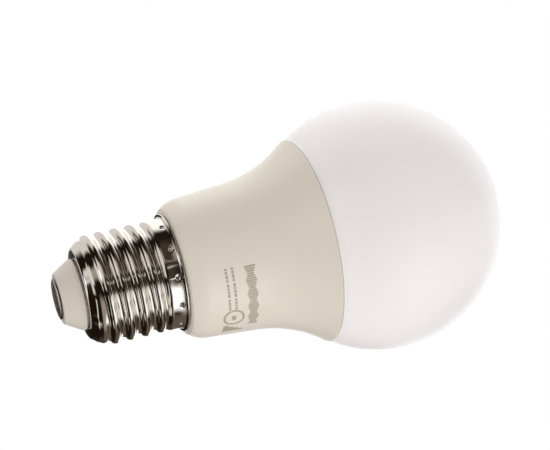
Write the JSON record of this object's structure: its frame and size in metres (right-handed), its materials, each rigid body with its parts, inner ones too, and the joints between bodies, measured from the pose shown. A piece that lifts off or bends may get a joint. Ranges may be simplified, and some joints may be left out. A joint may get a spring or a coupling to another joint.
{
  "type": "smart led light bulb",
  "caption": "Round-globe LED light bulb with a flared plastic housing, a threaded metal screw cap, an insulated centre contact and its driver electronics inside.",
  "frame": {"origin": "centre of the centre contact's flat tip, on the bulb's axis", "axes": "+Z along the bulb's axis, from the contact towards the top of the globe; -Y is the side the print is on"},
  "size_m": [0.0598, 0.0598, 0.1091],
  "materials": {
    "diffuser": "opal white polycarbonate, soft gloss",
    "housing": "warm cream moulded plastic, satin",
    "cap_metal": "bright nickel-plated brass sheet",
    "insulator": "cream moulded insulator",
    "contact_metal": "dull nickel-plated contact",
    "seal": "translucent white silicone",
    "aluminium": "drawn aluminium, satin",
    "led_board": "white solder mask on aluminium",
    "thermal_pad": "grey silicone pad",
    "screw_steel": "zinc-plated steel",
    "led": "white tray with a yellow phosphor window",
    "driver_board": "green circuit board",
    "module_board": "dark blue circuit board",
    "chip_epoxy": "black moulded epoxy",
    "capacitor_can": "aluminium can in a dark printed sleeve",
    "film_box": "yellow resin-filled box",
    "fuse_body": "brown lacquered body",
    "varistor_body": "blue epoxy-dipped disc",
    "black_plastic": "black plastic",
    "ferrite": "dark grey ferrite",
    "winding": "copper winding under yellow tape",
    "resistor": "black chip with tinned ends",
    "shield_tin": "tin-plated steel can",
    "antenna_copper": "copper track",
    "wire_brown": "brown insulated wire",
    "wire_blue": "blue insulated wire",
    "wire_red": "red insulated wire",
    "wire_black": "black insulated wire"
  },
  "bodies": {
    "root": {"diffuser_globe": "diffuser", "housing_shell": "housing", "screw_cap_shell": "cap_metal", "cap_insulator": "insulator", "centre_contact": "contact_metal", "globe_seal_ring": "seal", "heat_sink_cup": "aluminium", "led_board": "led_board", "thermal_pad": "thermal_pad", "board_screw_1": "screw_steel", "board_screw_2": "screw_steel", "led_01": "led", "led_02": "led", "led_03": "led", "led_04": "led", "led_05": "led", "led_06": "led", "led_07": "led", "led_08": "led", "led_09": "led", "led_10": "led", "led_11": "led", "led_12": "led", "driver_board": "driver_board", "fuse_resistor": "fuse_body", "varistor": "varistor_body", "bridge_rectifier": "chip_epoxy", "filter_inductor": "black_plastic", "input_capacitor": "capacitor_can", "output_capacitor": "capacitor_can", "film_capacitor": "film_box", "transformer_core": "ferrite", "transformer_bobbin": "black_plastic", "transformer_winding": "winding", "driver_chip": "chip_epoxy", "output_diode": "chip_epoxy", "chip_resistor_1": "resistor", "chip_resistor_2": "resistor", "chip_resistor_3": "resistor", "chip_resistor_4": "resistor", "wireless_module_board": "module_board", "module_shield_can": "shield_tin", "module_header": "black_plastic", "module_antenna": "antenna_copper", "live_wire": "wire_brown", "neutral_wire": "wire_blue", "led_plus_wire": "wire_red", "led_minus_wire": "wire_black"}
  },
  "joints": []
}
